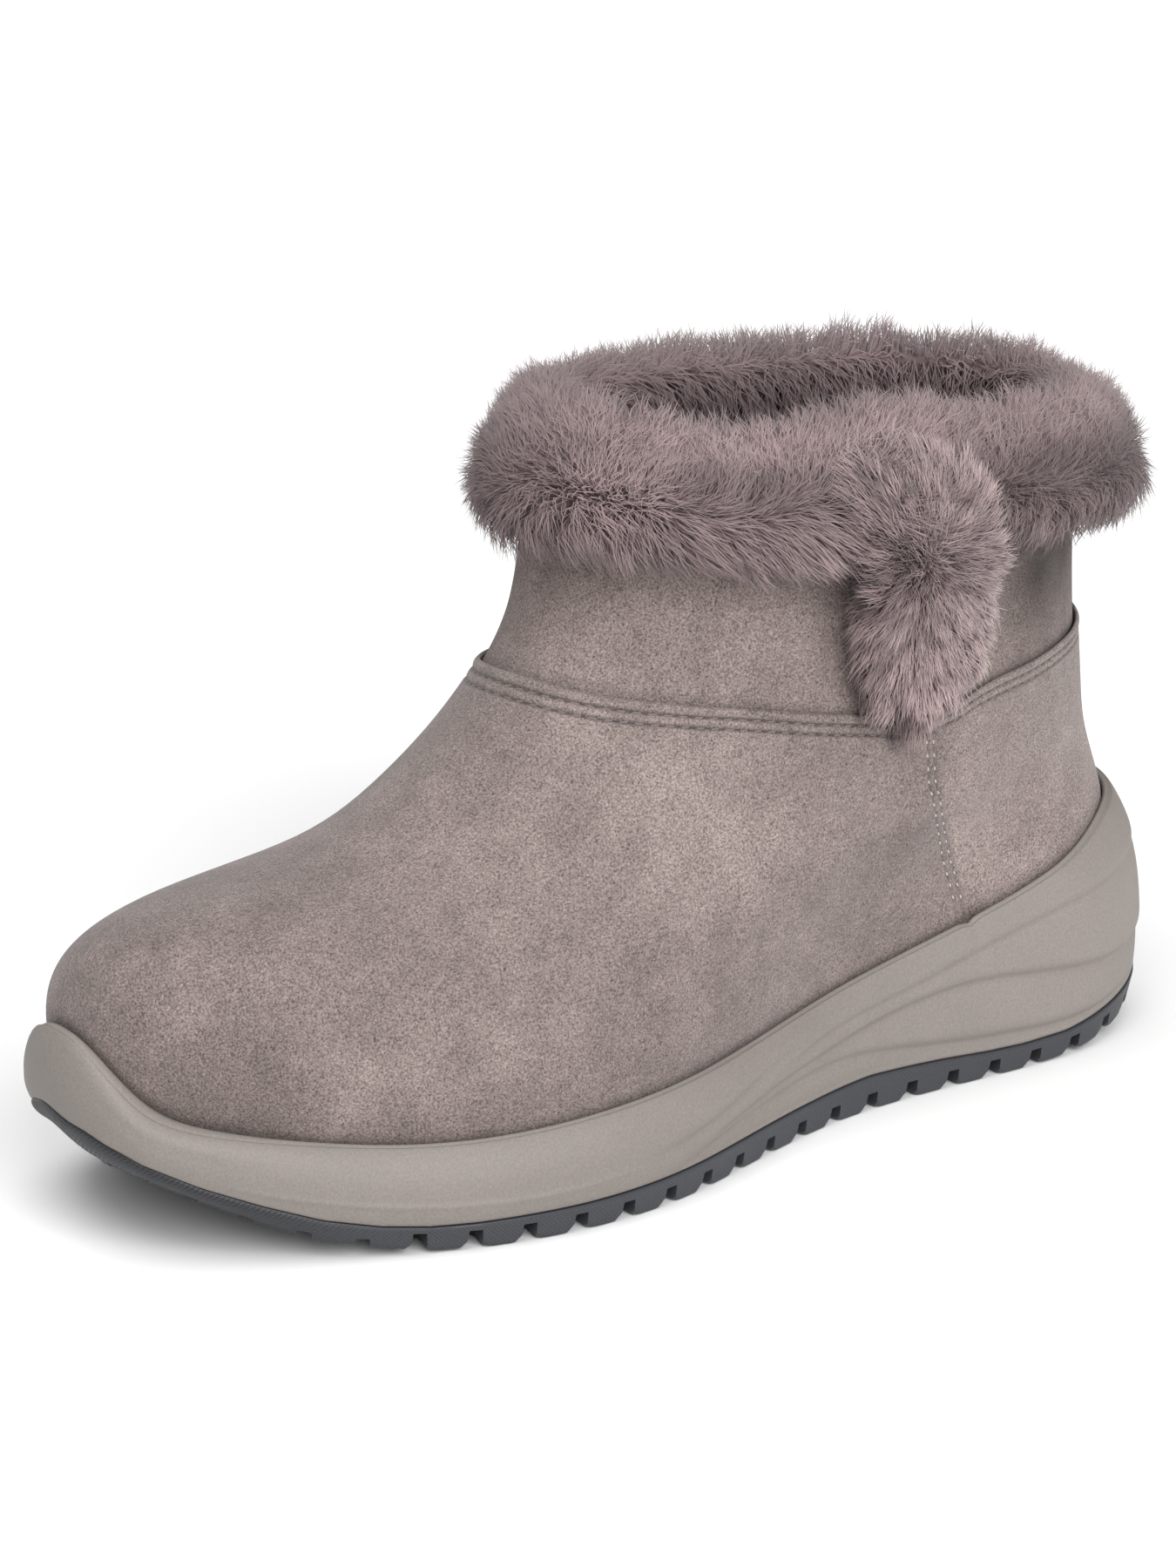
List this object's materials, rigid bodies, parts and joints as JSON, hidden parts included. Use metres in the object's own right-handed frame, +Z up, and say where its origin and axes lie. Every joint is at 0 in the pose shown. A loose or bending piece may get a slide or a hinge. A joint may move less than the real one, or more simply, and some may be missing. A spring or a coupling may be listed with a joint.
{
  "type": "ankle boot",
  "caption": "Left pull-on ankle boot in suede with a thick fur roll round the top, a hanging fur flap, a sculpted foam midsole and a lugged rubber sole.",
  "frame": {"origin": "bottom centre of the boot's box, on the ground", "axes": "+Z up; toe towards -X, heel towards +X; outer (lateral) side towards -Y, inner side towards +Y"},
  "size_m": [0.276, 0.12, 0.1595],
  "materials": {
    "rubber": "matte moulded rubber, slate grey",
    "midsole_foam": "matte moulded foam, warm grey",
    "plush": "short plush pile",
    "suede": "napped suede, taupe",
    "suede_quarter": "napped suede, taupe",
    "suede_band": "napped suede, taupe",
    "fur": "long-pile imitation fur, mauve taupe",
    "flap_fur": "long-pile imitation fur, mauve taupe"
  },
  "bodies": {
    "root": {"outsole": "rubber", "midsole": "midsole_foam", "insole": "plush", "vamp": "suede", "quarter": "suede_quarter", "shaft": "suede_band", "fur_collar": "fur", "fur_flap": "flap_fur"}
  },
  "joints": []
}
